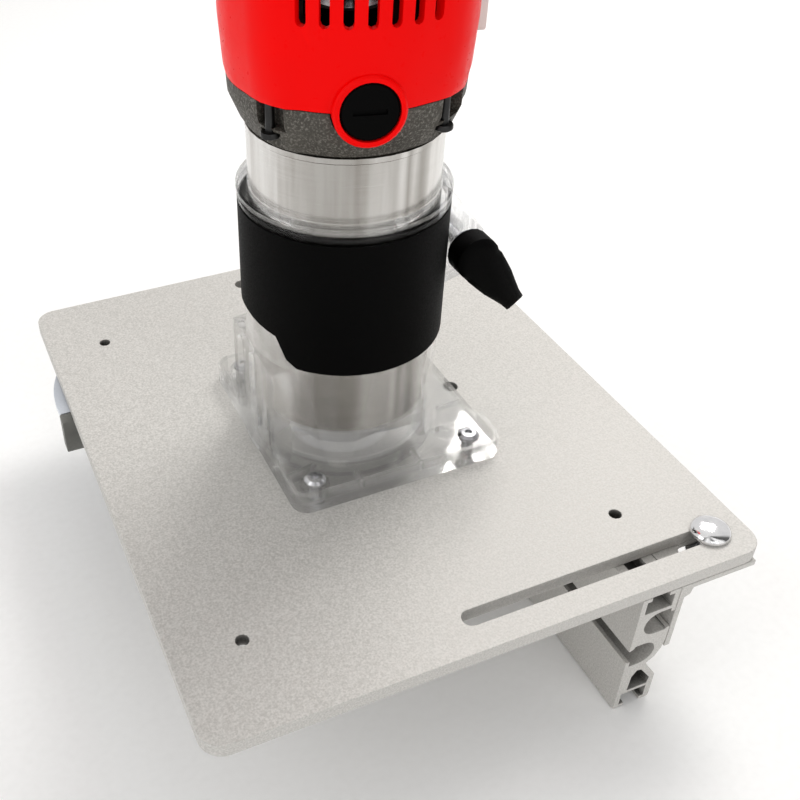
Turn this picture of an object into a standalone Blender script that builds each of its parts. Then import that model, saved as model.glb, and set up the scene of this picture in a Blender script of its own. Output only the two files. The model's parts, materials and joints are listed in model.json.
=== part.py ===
"""A small router table: an aluminium plate that carries an upside-down trim router.

The router stands on the plate's top face. The plate's underside is the work face, and the
fence and the mitre gauge hang under it. Sizes are millimetres in the frame of the part: the
origin is at the middle of the bottom of the whole object, +X right, +Y back, +Z up. The mesh
helpers turn them into Blender's metres.
"""
import bpy
import bmesh
from math import cos, sin, pi, radians, degrees, sqrt, hypot, atan2
from mathutils import Matrix, Vector

MM = 0.001
GAP = 0.3                     # space left between two touching pieces

# Table plate
PLATE_WIDTH = 204.0
PLATE_DEPTH = 240.0
PLATE_THICK = 5.4
PLATE_CORNER = 8.0
GAUGE_OVERHANG = 4.5          # how far the gauge beam sticks out on the left
PLATE_X = GAUGE_OVERHANG / 2
FENCE_HEIGHT = 60.0
PLATE_BOTTOM = FENCE_HEIGHT + GAP
PLATE_TOP = PLATE_BOTTOM + PLATE_THICK
SLOT_WIDTH = 6.4
SLOT_Y = 107.0                # the two fence slots lie at -SLOT_Y and +SLOT_Y
SLOT_LEFT = -8.3
SLOT_RIGHT = 94.4
MOUNT_HOLES_X = (-76.0, 65.4)
MOUNT_HOLES_Y = (-86.6, 86.6)
MOUNT_HOLE = 4.6
BIT_OPENING = 40.0

# Fence
FENCE_LEFT = 54.0
FENCE_THICK = 15.5
FENCE_RIGHT = FENCE_LEFT + FENCE_THICK
BRACKET_LEG = 31.4
BRACKET_THICK = 2.4
BOLT_X = 90.4
BRACKET_BOLTS_Y = {"front": -70.0, "back": 70.0}
BRACKET_BOLT_Z = 44.2

# Mitre gauge
PIVOT = (-57.2, 59.4)
PROTRACTOR_RADIUS = 46.9
PROTRACTOR_THICK = 2.7
BEAM_FRONT = 46.8
BEAM_THICK = 5.9
BEAM_LEFT = PLATE_X - PLATE_WIDTH / 2 - GAUGE_OVERHANG
BEAM_RIGHT = 30.0
BEAM_HEIGHT = 15.4
ARM_THICK = 6.0
ARM_WIDTH = 20.0

# Trim router, all heights above the plate's top face
ROUTER_X = PLATE_X - 5.5
BODY_RADIUS = 32.5            # the usual 65 mm motor body
SLEEVE_INNER = BODY_RADIUS + GAP
SLEEVE_OUTER = 35.4
SLEEVE_TOP = 106.0
BODY_BOTTOM = 20.0
BODY_TOP = 128.6
HOUSING_BOTTOM = 145.0
HOUSING_TOP = 203.0
HOUSING_RADIUS = 39.6
HOUSING_WALL = 2.6
ROUTER_TOP = 215.0
BRUSH_AZIMUTH = -105.0        # the brushes face the front, turned 15 degrees to the left
BRUSH_Z = 146.0
POST_AZIMUTHS = [BRUSH_AZIMUTH - 45 + 90 * i for i in range(4)]
SWITCH_AZIMUTH = BRUSH_AZIMUTH + 90
HOUSING_SCREW = (36.9, -1.4)  # radial and sideways place of a screw at its post
ROCKER_Z = 173.5
SHAFT_RADIUS = 4.7
BASE_X = (-36.0, 48.0)        # the clear base, measured from the router's axis
BASE_Y = (-44.0, 46.0)
BASE_BOSSES = [(x, y) for x in (-26.0, 37.0) for y in (-36.0, 38.0)]
BASE_RIM = 8.2
CLAMP_X = 43.7
CLAMP_Z = 74.0
LEVER_ANGLE = -52.0           # the lever points outwards and down


# ---------------------------------------------------------------- materials

FINISHES = {
    "anodised_aluminium": ((0.60, 0.585, 0.56), 0.42, 1.0),
    "dark_anodised": ((0.16, 0.16, 0.15), 0.5, 0.6),
    "pale_aluminium": ((0.66, 0.69, 0.73), 0.38, 0.9),
    "turned_aluminium": ((0.72, 0.71, 0.69), 0.22, 1.0),
    "chrome": ((0.8, 0.8, 0.81), 0.08, 1.0),
    "steel": ((0.55, 0.55, 0.56), 0.3, 1.0),
    "electrical_steel": ((0.22, 0.22, 0.23), 0.5, 0.9),
    "copper": ((0.72, 0.33, 0.16), 0.35, 1.0),
    "brass": ((0.76, 0.58, 0.26), 0.3, 1.0),
    "carbon": ((0.03, 0.03, 0.03), 0.7, 0.1),
    "black_plastic": ((0.008, 0.008, 0.008), 0.45, 0.0),
    "red_plastic": ((0.80, 0.002, 0.002), 0.32, 0.0),
    "grey_casting": ((0.05, 0.047, 0.042), 0.6, 0.7),
    "clear_plastic": ((0.92, 0.93, 0.93), 0.05, 0.0),
    "white_plastic": ((0.75, 0.74, 0.70), 0.4, 0.0),
    "circuit_board": ((0.02, 0.16, 0.07), 0.5, 0.0),
    "rubber": ((0.02, 0.02, 0.02), 0.85, 0.0),
}


def finish(name, slot):
    """A material of the piece's own, with the colour of its slot."""
    colour, roughness, metallic = FINISHES[slot]
    material = bpy.data.materials.new(name + "_" + slot)
    material.use_nodes = True
    shader = material.node_tree.nodes["Principled BSDF"]
    shader.inputs["Base Color"].default_value = (*colour, 1.0)
    shader.inputs["Roughness"].default_value = roughness
    shader.inputs["Metallic"].default_value = metallic
    material.diffuse_color = (*colour, 1.0)
    return material


# ---------------------------------------------------------------- outlines

def arc(cx, cy, radius, start, end, steps):
    """Points on a circle from one angle to another, in degrees, both ends included."""
    angles = [radians(start + (end - start) * i / steps) for i in range(steps + 1)]
    return [(cx + radius * cos(a), cy + radius * sin(a)) for a in angles]


def circle(cx, cy, radius, steps=16):
    return arc(cx, cy, radius, 0, 360 - 360 / steps, steps - 1)


def rounded_box(x0, x1, y0, y1, radius, steps=5):
    corners = ((x1, y1, 0), (x0, y1, 90), (x0, y0, 180), (x1, y0, 270))
    points = []
    for x, y, start in corners:
        cx = x - radius if x == x1 else x + radius
        cy = y - radius if y == y1 else y + radius
        points += arc(cx, cy, radius, start, start + 90, steps)
    return points


def circle_ring(radius, height, steps=24):
    return [(x, y, height) for x, y in circle(0, 0, radius, steps)]


def hex_ring(apothem, height, steps=24):
    """A ring of points on a hexagon, as many on each side."""
    ring = []
    for i in range(steps):
        angle = 2 * pi * i / steps
        side = (angle + pi / 6) % (pi / 3) - pi / 6
        wide = apothem / cos(side)
        ring.append((wide * cos(angle), wide * sin(angle), height))
    return ring


def slot_outline(x0, x1, y, width, steps=8):
    """A slot along X with round ends."""
    half = width / 2
    right = arc(x1 - half, y, half, -90, 90, steps)
    return right + arc(x0 + half, y, half, 90, 270, steps)


# ---------------------------------------------------------------- solids

AXES = {
    "Z": Matrix(((1, 0, 0), (0, 1, 0), (0, 0, 1))),
    "Y": Matrix(((1, 0, 0), (0, 0, 1), (0, 1, 0))),
    "X": Matrix(((0, 0, 1), (1, 0, 0), (0, 1, 0))),
}


def place(x=0.0, y=0.0, z=0.0, azimuth=0.0):
    """A frame at a point, with its X axis turned to an azimuth in degrees."""
    return Matrix.Translation((x, y, z)) @ Matrix.Rotation(radians(azimuth), 4, "Z")


def router_frame(azimuth=0.0):
    """The frame of the router: its axis is Z, and Z is zero on the plate's top face."""
    return place(ROUTER_X, 0.0, PLATE_TOP, azimuth)


def add_prism(bm, outline, low, high, axis="Z", holes=(), frame=Matrix()):
    """An outline, with holes, pulled from low to high along an axis."""
    turn = AXES[axis]
    edges = []
    for loop in (outline, *holes):
        verts = [bm.verts.new(turn @ Vector((u, v, low))) for u, v in loop]
        edges += [bm.edges.new((verts[i - 1], verts[i])) for i in range(len(verts))]
    made = bmesh.ops.triangle_fill(bm, use_beauty=True, use_dissolve=False, edges=edges)
    faces = [item for item in made["geom"] if isinstance(item, bmesh.types.BMFace)]
    grown = bmesh.ops.extrude_face_region(bm, geom=faces, use_keep_orig=True)
    raised = [item for item in grown["geom"] if isinstance(item, bmesh.types.BMVert)]
    bmesh.ops.translate(bm, vec=turn @ Vector((0, 0, high - low)), verts=raised)
    base = {vert for face in faces for vert in face.verts}
    for vert in base | set(raised):
        vert.co = frame @ vert.co


def add_loft(bm, rings, frame=Matrix(), closed=False):
    """A skin over rings of equal length; closed joins the last ring to the first."""
    rows = [[bm.verts.new(frame @ Vector(point)) for point in ring] for ring in rings]
    pairs = list(zip(rows, rows[1:]))
    if closed:
        pairs.append((rows[-1], rows[0]))
    for low, high in pairs:
        for i in range(len(low)):
            bm.faces.new((low[i - 1], low[i], high[i], high[i - 1]))
    if not closed:
        bm.faces.new(rows[0][::-1])
        bm.faces.new(rows[-1])


def add_turned(bm, profile, steps=24, frame=Matrix(), axis="Z", hollow=False):
    """A profile of (radius, height) turned about an axis; hollow profiles close on themselves."""
    turn = AXES[axis].to_4x4()
    rings = []
    for radius, height in profile:
        rings.append([(x, y, height) for x, y in circle(0, 0, radius, steps)])
    add_loft(bm, rings, frame @ turn, closed=hollow)


def add_box(bm, low, high, frame=Matrix()):
    outline = [(low[0], low[1]), (high[0], low[1]), (high[0], high[1]), (low[0], high[1])]
    add_prism(bm, outline, low[2], high[2], frame=frame)


def make(name, bm, slot, parent=None, sharp=35.0):
    """Turns a bmesh in millimetres into an object, under the empty of its moving body."""
    bmesh.ops.recalc_face_normals(bm, faces=bm.faces)
    bmesh.ops.scale(bm, vec=(MM, MM, MM), verts=bm.verts)
    mesh = bpy.data.meshes.new(name)
    bm.to_mesh(mesh)
    bm.free()
    mesh.shade_smooth()
    mesh.set_sharp_from_angle(angle=radians(sharp))
    mesh.materials.append(finish(name, slot))
    obj = bpy.data.objects.new(name, mesh)
    bpy.context.scene.collection.objects.link(obj)
    if parent:
        obj.parent = parent
        obj.location = -parent.location
    return obj


def make_cutter(name, bm, parent=None):
    """A helper solid for a Boolean: it isn't part of the object."""
    obj = make(name, bm, "steel", parent)
    obj.hide_render = True
    obj.display_type = "WIRE"
    return obj


def combine(obj, operation, other):
    modifier = obj.modifiers.new(operation.lower() + "_" + other.name, "BOOLEAN")
    modifier.operation = operation
    modifier.solver = "EXACT"
    modifier.object = other


def turned(name, profile, slot, parent=None, steps=24, frame=Matrix(), axis="Z", hollow=False):
    bm = bmesh.new()
    add_turned(bm, profile, steps, frame, axis, hollow)
    return make(name, bm, slot, parent)


def prism(name, outline, low, high, slot, parent=None, axis="Z", holes=(), frame=Matrix()):
    bm = bmesh.new()
    add_prism(bm, outline, low, high, axis, holes, frame)
    return make(name, bm, slot, parent)


def tube_profile(inner, outer, low, high, edge=0.4):
    """The section of a ring with a small chamfer on its outer edges."""
    return [(inner, high), (outer - edge, high), (outer, high - edge),
            (outer, low + edge), (outer - edge, low), (inner, low)]


def body(name, x=0.0, y=0.0, z=0.0):
    """An empty on a joint's axis: the pieces that move together hang under it."""
    empty = bpy.data.objects.new(name, None)
    empty.empty_display_size = 0.01
    empty.location = Vector((x, y, z)) * MM
    bpy.context.scene.collection.objects.link(empty)
    return empty


# ---------------------------------------------------------------- table plate

def make_plate():
    """The plate: four mounting holes, a starting-pin hole, two fence slots, the bit opening."""
    half = PLATE_WIDTH / 2
    outline = rounded_box(PLATE_X - half, PLATE_X + half, -PLATE_DEPTH / 2, PLATE_DEPTH / 2,
                          PLATE_CORNER, 6)
    holes = [circle(x, y, MOUNT_HOLE / 2, 12) for x in MOUNT_HOLES_X for y in MOUNT_HOLES_Y]
    holes.append(circle(47.0, 0.6, 3.1))
    holes += [slot_outline(SLOT_LEFT, SLOT_RIGHT, y, SLOT_WIDTH) for y in (-SLOT_Y, SLOT_Y)]
    holes.append(circle(ROUTER_X, 0.0, BIT_OPENING / 2, 28))
    holes += [circle(ROUTER_X + x, y, 2.4, 10) for x, y in BASE_BOSSES]
    prism("table_plate", outline, PLATE_BOTTOM, PLATE_TOP, "anodised_aluminium", holes=holes)


# ---------------------------------------------------------------- fence

def fence_section():
    """The outer line of the fence's extrusion, (x from its left face, z), with its open slots."""
    top_slot = [(11.0, 60), (11.0, 58.2), (13.3, 58.2), (13.3, 52), (2.1, 52), (2.1, 58.2),
                (3.8, 58.2), (3.8, 60)]
    left_groove = [(0, 33.1), (1.6, 33.6), (2.4, 34.9)]
    left_groove += arc(6.0, 29.5, 5.4, 90, -90, 8)
    left_groove += [(1.7, 24.1), (1.7, 26.7), (0, 26.7)]
    bottom_slot = [(4.4, 0), (4.4, 1.6), (2.2, 1.6), (2.2, 7.6), (13.0, 7.6), (13.0, 1.6),
                   (11.2, 1.6), (11.2, 0)]
    right_side = [(14.9, 0), (15.5, 1.2), (15.5, 13.0), (10.0, 20.4), (9.8, 22.4),
                  (12.6, 24.6), (14.6, 28.4), (15.5, 33.0), (15.5, 40)]
    right_groove = [(13.9, 40), (13.9, 39.2)]
    right_groove += arc(9.2, 44.75, 5.55, 270, 90, 8)
    right_groove += [(13.9, 50.3), (13.9, 48.5), (15.5, 48.5)]
    section = [(15.5, 60)] + top_slot + [(0, 60)] + left_groove + [(0, 0)] + bottom_slot
    section += right_side + right_groove
    return [(x + FENCE_LEFT, z) for x, z in section]


def make_fence(fence):
    """The extrusion, hung from a slotted angle by carriage bolts through the plate's slots."""
    inner_channel = [(4.2, 9.0), (12.9, 9.0), (13.3, 12.2), (8.4, 19.0), (6.4, 19.6), (4.6, 16.6)]
    inner_channel = [(x + FENCE_LEFT, z) for x, z in inner_channel]
    half = PLATE_DEPTH / 2
    prism("fence_profile", fence_section(), -half, half, "anodised_aluminium", fence,
          axis="Y", holes=[inner_channel])

    left = FENCE_RIGHT + GAP
    right = left + BRACKET_LEG
    top = PLATE_BOTTOM - GAP
    section = [(left, top), (left, top - BRACKET_LEG), (left + BRACKET_THICK, top - BRACKET_LEG),
               (left + BRACKET_THICK, top - 6.2), (left + 4.6, top - 5.4), (left + 5.4, top - 2.4),
               (right, top - BRACKET_THICK), (right, top)]
    bracket = prism("fence_bracket", section, -half, half, "anodised_aluminium", fence, axis="Y")
    bm = bmesh.new()
    for y in (-SLOT_Y, SLOT_Y):
        add_prism(bm, slot_outline(79.0, 97.0, y, 6.8), top - 4, top + 1)
    for y in BRACKET_BOLTS_Y.values():
        hole = circle(y, BRACKET_BOLT_Z, 3.3, 12)
        add_prism(bm, hole, left - 1, left + BRACKET_THICK + 1, "X")
    combine(bracket, "DIFFERENCE", make_cutter("bracket_holes", bm, fence))
    return top - BRACKET_THICK


def make_bracket_bolts(fence):
    """T-head bolts in the right groove, with a nut each outside the angle."""
    outside = FENCE_RIGHT + 2 * GAP + BRACKET_THICK
    head_end = FENCE_RIGHT - 2.2
    head = [(-6.5, -4.6), (6.5, -4.6), (6.5, 4.6), (-6.5, 4.6)]
    shank = circle(0, 0, 2.9, 12)
    for label, y in BRACKET_BOLTS_Y.items():
        frame = place(0, y, BRACKET_BOLT_Z)
        bm = bmesh.new()
        add_stepped(bm, [(head, head_end - 3.0, head_end), (shank, head_end, outside + 7.5)],
                    frame)
        make("bracket_bolt_" + label, bm, "steel", fence)
        prism("bracket_nut_" + label, circle(0, 0, 5.8, 6), outside, outside + 5.0, "steel", fence,
              "X", [circle(0, 0, 3.2, 12)], frame)


def add_stepped(bm, steps, frame):
    """A head and a shank along X as one solid: the wide face has the shank's outline cut out."""
    (head, head_low, head_high), (shank, _, shank_high) = steps
    turn = AXES["X"]

    def loop(points, height):
        return [bm.verts.new(frame @ (turn @ Vector((u, v, height)))) for u, v in points]

    def walls(low, high):
        for i in range(len(low)):
            bm.faces.new((low[i - 1], low[i], high[i], high[i - 1]))

    def fill(*loops):
        edges = []
        for verts in loops:
            for i in range(len(verts)):
                pair = (verts[i - 1], verts[i])
                edges.append(bm.edges.get(pair) or bm.edges.new(pair))
        bmesh.ops.triangle_fill(bm, use_beauty=True, use_dissolve=False, edges=edges)

    back = loop(head, head_low)
    front = loop(head, head_high)
    root = loop(shank, head_high)
    tip = loop(shank, shank_high)
    walls(back, front)
    walls(root, tip)
    fill(back)
    fill(front, root)
    fill(tip)


def make_fence_fasteners(fence, flange_bottom):
    """Carriage bolts with domed chrome heads and flange nuts under the angle."""
    nut_top = flange_bottom - GAP
    nut_bottom = nut_top - 4.6
    for label, y in (("front", -SLOT_Y), ("back", SLOT_Y)):
        frame = place(BOLT_X, y)
        dome = [(7.1 * cos(radians(a)), PLATE_TOP + GAP + 0.7 + 2.6 * sin(radians(a)))
                for a in (75, 55, 35, 18, 0)]
        shank = [(7.0, PLATE_TOP + GAP), (2.9, PLATE_TOP + GAP), (2.9, nut_bottom - 0.4),
                 (2.3, nut_bottom - 0.9)]
        turned("fence_bolt_" + label, dome + shank, "chrome", fence, 20, frame)
        rings = [circle_ring(3.2, nut_top), circle_ring(6.6, nut_top),
                 circle_ring(6.6, nut_top - 0.8), hex_ring(5.0, nut_top - 1.3),
                 hex_ring(5.0, nut_bottom + 0.4), hex_ring(4.5, nut_bottom),
                 circle_ring(3.2, nut_bottom)]
        bm = bmesh.new()
        add_loft(bm, rings, frame, closed=True)
        make("fence_nut_" + label, bm, "steel", fence)


def make_lobed_knob(name, parent, frame, top, radius, height):
    """A hand knob with six lobes, a blind threaded bore from above and a round underside."""
    bore = 3.3
    levels = [(bore, top - height + 1.8, 0), (bore, top, 0), (6.5, top, 0), (7.0, top - 2.0, 0),
              (radius - 1.2, top - 3.4, 1), (radius, top - 4.6, 1), (radius, top - height + 2.2, 1),
              (radius - 1.6, top - height + 0.5, 1), (radius - 4.5, top - height, 1)]
    rings = []
    for level_radius, height_at, lobed in levels:
        ring = []
        for i in range(24):
            angle = 2 * pi * i / 24
            wide = level_radius + (1.3 * cos(6 * angle) - 1.3) * lobed
            ring.append((wide * cos(angle), wide * sin(angle), height_at))
        rings.append(ring)
    bm = bmesh.new()
    add_loft(bm, rings, frame)
    make(name, bm, "black_plastic", parent)


# ---------------------------------------------------------------- mitre gauge

def make_gauge(slider, head, knob):
    """A protractor and beam that swivel on an arm, and the arm's tongue in the fence's groove."""
    px, py = PIVOT
    top = PLATE_BOTTOM - GAP
    plate_low = top - PROTRACTOR_THICK
    beam_back = BEAM_FRONT + BEAM_THICK
    beam_low = PLATE_BOTTOM - GAP - BEAM_HEIGHT
    arm_top = beam_low - GAP

    chord = beam_back + GAP - py
    reach = sqrt(PROTRACTOR_RADIUS ** 2 - chord ** 2)
    start = degrees(atan2(chord, reach))
    outline = arc(px, py, PROTRACTOR_RADIUS, start, 180 - start, 36)
    scale_slot = arc(px, py, 36.0, 25, 155, 20) + arc(px, py, 30.5, 155, 25, 20)
    prism("gauge_protractor", outline, plate_low, top, "pale_aluminium", head,
          holes=[scale_slot, circle(px, py, 3.3, 16)])

    step = plate_low - GAP
    section = [(BEAM_FRONT, beam_low), (beam_back, beam_low), (beam_back, top), (BEAM_FRONT, top)]
    beam = prism("gauge_beam", section, BEAM_LEFT, BEAM_RIGHT, "dark_anodised", head, axis="X")
    bm = bmesh.new()
    for x in (px - 24, px + 24):
        add_box(bm, (x - 7, beam_back - 1, step - 4.0), (x + 7, beam_back + 12, step))
    combine(beam, "UNION", make_cutter("beam_ears", bm, head))

    make_gauge_arm(slider, plate_low, arm_top)
    bolt = [(5.4, top - 0.2), (5.4, top - 0.9), (3.0, top - 2.3), (3.0, arm_top - 16.4),
            (2.4, arm_top - 17.0)]
    turned("gauge_pivot_bolt", bolt, "steel", slider, 20, place(px, py))
    seat = bmesh.new()
    add_turned(seat, [(5.8, top + 1), (5.8, top - 1.1), (3.3, top - 2.7), (3.3, top - 4)], 20,
               place(px, py))
    protractor = bpy.data.objects["gauge_protractor"]
    combine(protractor, "DIFFERENCE", make_cutter("pivot_countersink", seat, head))
    make_lobed_knob("gauge_lock_knob", knob, place(px, py), arm_top - ARM_THICK - GAP, 11.0, 13.0)


def make_gauge_arm(slider, plate_low, arm_top):
    """A flat arm with a boss for the pivot at its left end and a tongue at its right end."""
    px, py = PIVOT
    half = ARM_WIDTH / 2
    low = arm_top - ARM_THICK
    end = FENCE_LEFT - GAP
    outline = arc(px, py, half, 90, 270, 10) + [(end, py - half), (end, py + half)]
    arm = prism("gauge_arm", outline, low, arm_top, "pale_aluminium", slider)
    bm = bmesh.new()
    add_box(bm, (end - 7.0, py - half, 26.0), (end, py + half, arm_top - 1.0))
    leg = make_cutter("arm_leg", bm, slider)
    bm = bmesh.new()
    add_box(bm, (end - 3.0, py - half, 27.2), (FENCE_LEFT + 7.5, py + half, 32.4))
    tongue = make_cutter("arm_tongue", bm, slider)
    bm = bmesh.new()
    add_turned(bm, [(6.0, plate_low - GAP), (6.0, arm_top - 1.0)], 20, place(px, py))
    boss = make_cutter("arm_boss", bm, slider)
    for piece in (leg, tongue, boss):
        combine(arm, "UNION", piece)
    bm = bmesh.new()
    add_turned(bm, [(3.3, plate_low + 1), (3.3, low - 1)], 16, place(px, py))
    combine(arm, "DIFFERENCE", make_cutter("arm_bore", bm, slider))


# ---------------------------------------------------------------- clear base of the router

def make_clear_base():
    """The router's clear base: flange with a rim and ribs, clamping sleeve, lugs, guide block."""
    frame = router_frame()
    low = GAP
    sheet = 3.2
    x0, x1 = BASE_X
    y0, y1 = BASE_Y
    bm = bmesh.new()
    add_prism(bm, rounded_box(x0, x1, y0, y1, 6.0), low, sheet, frame=frame)
    base = make("clear_base", bm, "clear_plastic", sharp=40)

    add_union(base, "base_rim", lambda b: add_prism(
        b, rounded_box(x0, x1, y0, y1, 6.0), low, BASE_RIM,
        holes=[rounded_box(x0 + 1.8, x1 - 1.8, y0 + 1.8, y1 - 1.8, 4.2)], frame=frame))
    add_union(base, "base_tube", lambda b: add_turned(b, [
        (28.0, SLEEVE_TOP), (SLEEVE_OUTER + 0.6, SLEEVE_TOP), (SLEEVE_OUTER + 1.2, SLEEVE_TOP - 0.6),
        (SLEEVE_OUTER + 1.2, SLEEVE_TOP - 2.2), (SLEEVE_OUTER + 0.5, SLEEVE_TOP - 2.8),
        (SLEEVE_OUTER + 1.0, SLEEVE_TOP - 3.4), (SLEEVE_OUTER + 1.0, SLEEVE_TOP - 4.8),
        (SLEEVE_OUTER, SLEEVE_TOP - 5.4), (SLEEVE_OUTER, 9.0), (SLEEVE_OUTER + 1.6, 1.0),
        (28.0, 1.0)], 48, frame))
    add_union(base, "base_guide", lambda b: add_prism(
        b, [(x0, -20.0), (x0 + 12, -21.5), (x0 + 12, 19.5), (x0, 18.0)], 1.0, 47.0, frame=frame))
    add_union(base, "base_lugs", lambda b: add_prism(
        b, [(30, 97), (37.5, 97), (CLAMP_X + 7.6, CLAMP_Z + 5), (CLAMP_X + 7.6, CLAMP_Z - 6),
            (CLAMP_X + 4, CLAMP_Z - 11), (30, CLAMP_Z - 16)], -9.2, 9.2, "Y", frame=frame))
    add_union(base, "base_bosses", add_base_bosses)
    add_union(base, "base_ribs", add_base_ribs)
    combine(base, "DIFFERENCE", make_cutter("base_openings", base_openings()))
    combine(base, "DIFFERENCE", make_cutter("base_grooves", base_grooves()))


def add_union(base, name, build):
    bm = bmesh.new()
    build(bm)
    combine(base, "UNION", make_cutter(name, bm))


def add_base_bosses(bm):
    for x, y in BASE_BOSSES:
        add_prism(bm, circle(x, y, 5.4, 16), 1.0, 6.6, frame=router_frame())


def add_base_ribs(bm):
    """Thin walls from the sleeve to the corners, none of them crossing another."""
    spans = [((27, -25), (33.5, -32)), ((27, 25), (33.5, 34)), ((36, -14), (47, -14)),
             ((36, 14), (47, 14)), ((-10, -36), (-10, -43)), ((14, -34), (14, -43)),
             ((-12, 36), (-12, 45)), ((14, 34), (14, 45)), ((-35, -30), (-22, -27.5))]
    for (ax, ay), (bx, by) in spans:
        length = hypot(bx - ax, by - ay)
        nx = -(by - ay) / length * 0.7
        ny = (bx - ax) / length * 0.7
        outline = [(ax + nx, ay + ny), (ax - nx, ay - ny), (bx - nx, by - ny), (bx + nx, by + ny)]
        add_prism(bm, outline, 1.0, 7.4, frame=router_frame())


def base_openings():
    """The bore for the motor, the sleeve's split, and the screw holes."""
    frame = router_frame()
    bm = bmesh.new()
    add_turned(bm, [(SLEEVE_INNER, SLEEVE_TOP + 2), (SLEEVE_INNER, 9.0), (29.0, 4.0), (29.0, -2.0)],
               48, frame)
    add_box(bm, (SLEEVE_INNER + 0.05, -1.1, 52.0), (60.0, 1.1, SLEEVE_TOP + 2), frame)
    for x, y in BASE_BOSSES:
        add_prism(bm, circle(x, y, 2.4, 10), -2.0, 12.0, frame=frame)
    return bm


def base_grooves():
    """Sight window on the right, clamp-bolt hole, and round-topped grooves in the guide block."""
    frame = router_frame()
    bm = bmesh.new()
    add_prism(bm, circle(CLAMP_X, CLAMP_Z, 3.3, 12), -12.0, 12.0, "Y", frame=frame)
    window = [(-27, 5.0), (27, 5.0), (27, 22)] + arc(0, 22, 27, 0, 180, 12)[1:-1] + [(-27, 22)]
    add_prism(bm, window, SLEEVE_INNER - 12, BASE_X[1] + 4, "X", frame=router_frame())
    for y in (-13.5, -1.5, 10.5):
        groove = [(y - 3.6, 12)] + [(y + 3.6, 12)] + arc(y, 40, 3.6, 0, 180, 6)
        add_prism(bm, groove, BASE_X[0] - 1, BASE_X[0] + 2.0, "X", frame=frame)
    return bm


def band_edge(azimuth):
    """Height of the band's lower edge: it steps up over the guide block on the left."""
    behind = abs((azimuth - 177) % 360 - 180)      # 180 at the middle of the guide block
    rise = min(max((behind - 140) / 10.0, 0.0), 1.0)
    smooth = rise * rise * (3 - 2 * rise)
    return 49.5 + 10.5 * smooth + 2.2 * max(behind - 150, 0) / 30


def make_band():
    """A flat black band round the sleeve, open at the clamp."""
    inner = SLEEVE_OUTER + GAP
    outer = inner + 0.6
    top = SLEEVE_TOP - 6.0
    rings = []
    for i in range(49):
        azimuth = 18 + 324 * i / 48
        c = cos(radians(azimuth))
        s = sin(radians(azimuth))
        low = band_edge(azimuth)
        rings.append([(inner * c, inner * s, low), (outer * c, outer * s, low),
                      (outer * c, outer * s, top), (inner * c, inner * s, top)])
    bm = bmesh.new()
    add_loft(bm, rings, router_frame())
    make("base_band", bm, "black_plastic")


def make_base_screws():
    """Pan-head screws that hold the base to the plate."""
    labels = ("left_front", "left_back", "right_front", "right_back")
    for label, (x, y) in zip(labels, BASE_BOSSES):
        top = 6.6 + GAP
        profile = [(1.2, top + 1.2), (1.4, top + 2.2), (2.8, top + 2.1), (3.9, top + 1.2),
                   (4.0, top), (2.0, top), (2.0, -PLATE_THICK + 0.4), (1.6, -PLATE_THICK)]
        turned("base_screw_" + label, profile, "steel", None, 12, router_frame() @ place(x, y))


# ---------------------------------------------------------------- clamp

def lever_outline(inset):
    """The lever's outline about its hub: a round hub and an arm that narrows to a flat end."""
    spine = [(5, 7.9), (10, 7.3), (15, 6.6), (20, 5.4), (25, 4.3), (29, 3.9)]
    hub = arc(0, 0, 8.3 - inset, 62, 298, 12)
    upper = [(t - (inset if t > 28 else 0), width - inset) for t, width in spine]
    lower = [(t, -width) for t, width in upper]
    tilt = radians(LEVER_ANGLE)
    points = hub + lower + upper[::-1]
    return [(t * cos(tilt) - w * sin(tilt), t * sin(tilt) + w * cos(tilt)) for t, w in points]


def make_clamp(lever):
    """Clamp bolt through both lugs, a washer and the lever nut in front of them."""
    frame = router_frame() @ place(CLAMP_X, 0, CLAMP_Z)
    front = -9.2
    bm = bmesh.new()
    bolt = [(5.4, 13.6), (5.8, 13.2), (5.8, 9.5), (3.0, 9.5), (3.0, -19.0), (2.5, -19.5)]
    add_turned(bm, bolt, 18, frame, "Y")
    make("clamp_bolt", bm, "steel")
    bm = bmesh.new()
    add_turned(bm, tube_profile(3.3, 6.6, front - GAP - 1.0, front - GAP, 0.2), 20, frame, "Y",
               hollow=True)
    make("clamp_washer", bm, "steel")
    back_face = front - 2 * GAP - 1.0
    front_face = back_face - 11.0
    rings = []
    for y, inset in ((front_face, 2.6), (front_face + 0.7, 1.0), (front_face + 2.0, 0.0),
                     (back_face - 1.4, 0.0), (back_face, 1.2)):
        rings.append([(u, y, w) for u, w in lever_outline(inset)])
    bm = bmesh.new()
    add_loft(bm, rings, frame)
    piece = make("clamp_lever", bm, "black_plastic", lever)
    bm = bmesh.new()
    add_turned(bm, [(3.3, back_face + 2), (3.3, front_face + 1.6)], 16, frame, "Y")
    combine(piece, "DIFFERENCE", make_cutter("lever_bore", bm, lever))


# ---------------------------------------------------------------- motor case and housing

def housing_ring(radius, height, post, steps=56):
    """A ring round the housing: it swells by post over the four screw posts."""
    ring = []
    for i in range(steps):
        azimuth = 360 * i / steps
        near = min(abs((azimuth - p + 180) % 360 - 180) for p in POST_AZIMUTHS)
        swell = min(max((12.5 - near) / 4.0, 0.0), 1.0)
        wide = radius + post * swell
        ring.append((wide * cos(radians(azimuth)), wide * sin(radians(azimuth)), height))
    return ring


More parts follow.
